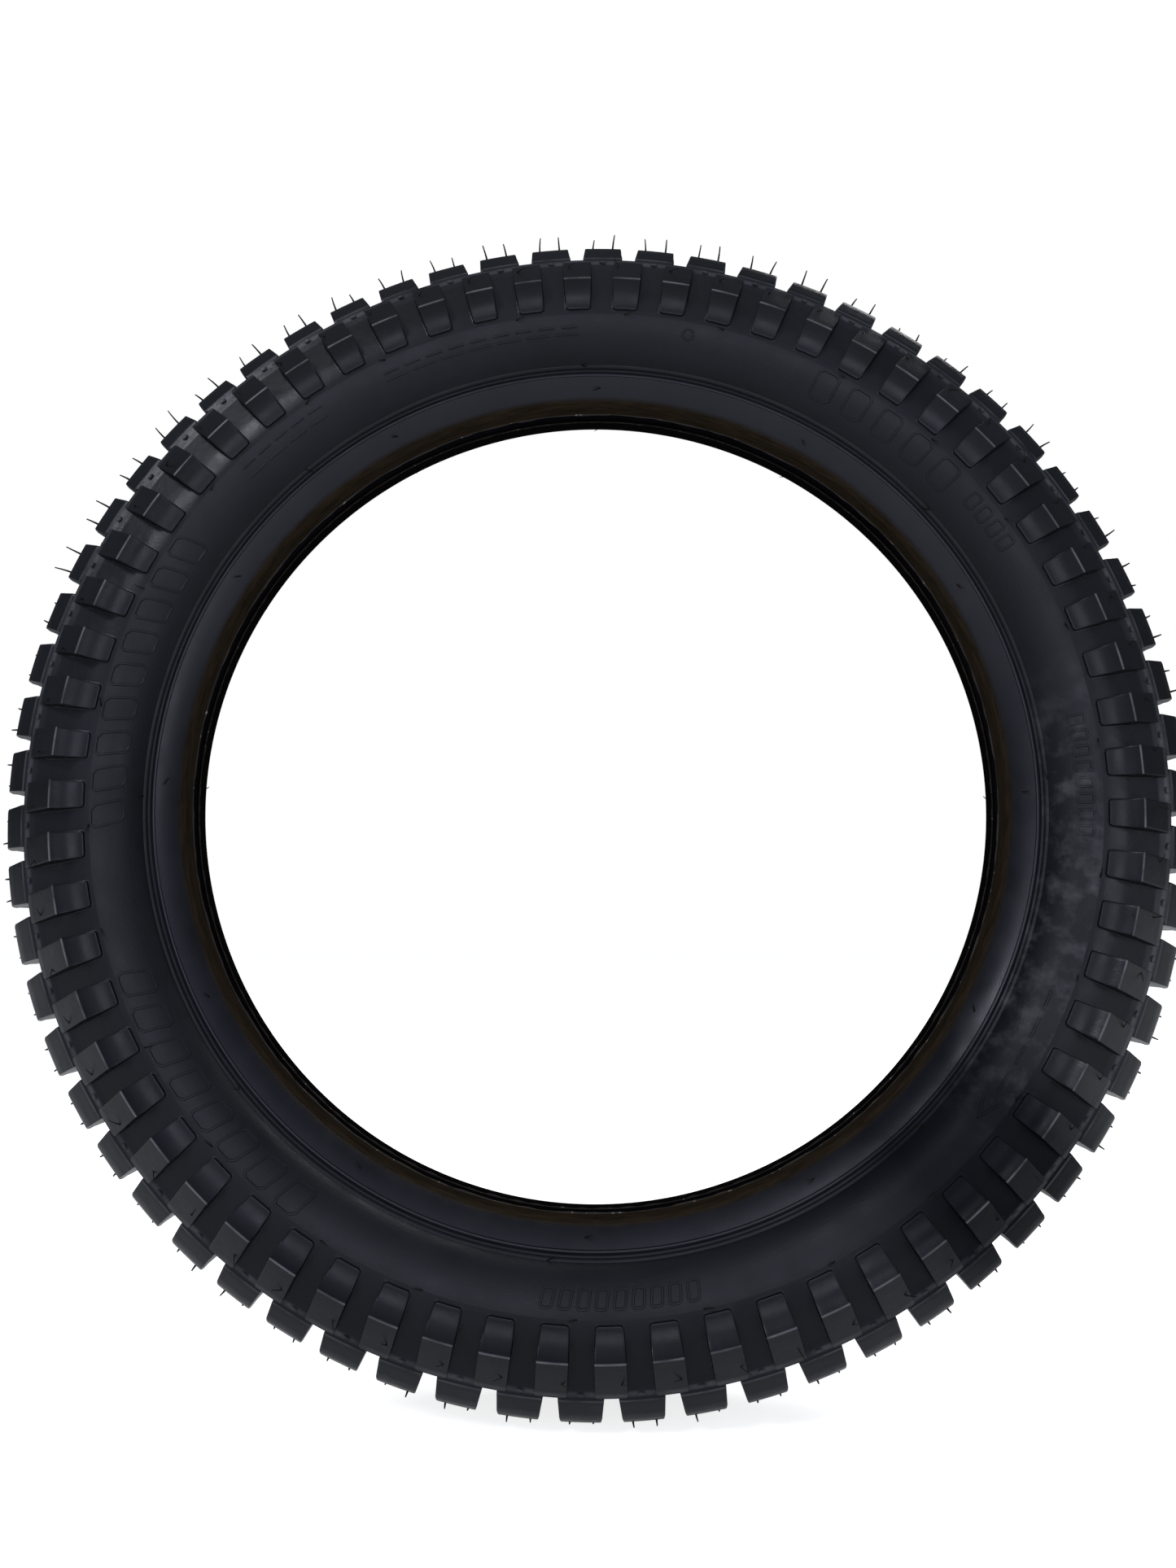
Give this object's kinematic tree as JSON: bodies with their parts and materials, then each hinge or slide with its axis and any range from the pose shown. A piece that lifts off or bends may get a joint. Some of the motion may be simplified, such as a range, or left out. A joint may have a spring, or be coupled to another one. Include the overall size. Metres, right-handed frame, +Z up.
{
  "type": "motorcycle tyre",
  "caption": "Bare spoked-wheel motorcycle tyre with block tread and shoulder lugs; beads seat on a rim and the hollow casing holds an inner tube.",
  "frame": {"origin": "centre of the tyre, on the wheel axis and in the mid-plane of the tread", "axes": "+Y along the wheel axis towards the left side, +Z up, +X forward when the tyre stands upright"},
  "size_m": [0.5118, 0.0852, 0.5118],
  "materials": {
    "tread_rubber": "satin moulded rubber",
    "sidewall_rubber": "satin moulded rubber",
    "chafer_rubber": "smooth satin rubber",
    "liner_rubber": "matt, bladder-marked rubber",
    "core_rubber": "matt rubber",
    "casing_cord": "rubberised nylon cord",
    "bead_steel": "bronze-coated bead wire"
  },
  "bodies": {
    "root": {"bead_chafer_left": "chafer_rubber", "bead_chafer_right": "chafer_rubber", "bead_filler_left": "core_rubber", "bead_filler_right": "core_rubber", "bead_flipper_left": "casing_cord", "bead_flipper_right": "casing_cord", "bead_insulation_left": "core_rubber", "bead_insulation_right": "core_rubber", "bead_wires_left": "bead_steel", "bead_wires_right": "bead_steel", "breaker_inner": "casing_cord", "breaker_outer": "casing_cord", "carcass_ply_inner": "casing_cord", "carcass_ply_outer": "casing_cord", "inner_liner": "liner_rubber", "shoulder_wing_left": "core_rubber", "shoulder_wing_right": "core_rubber", "sidewall_left": "sidewall_rubber", "sidewall_right": "sidewall_rubber", "tread_base": "core_rubber", "tread_cap": "tread_rubber"}
  },
  "joints": []
}
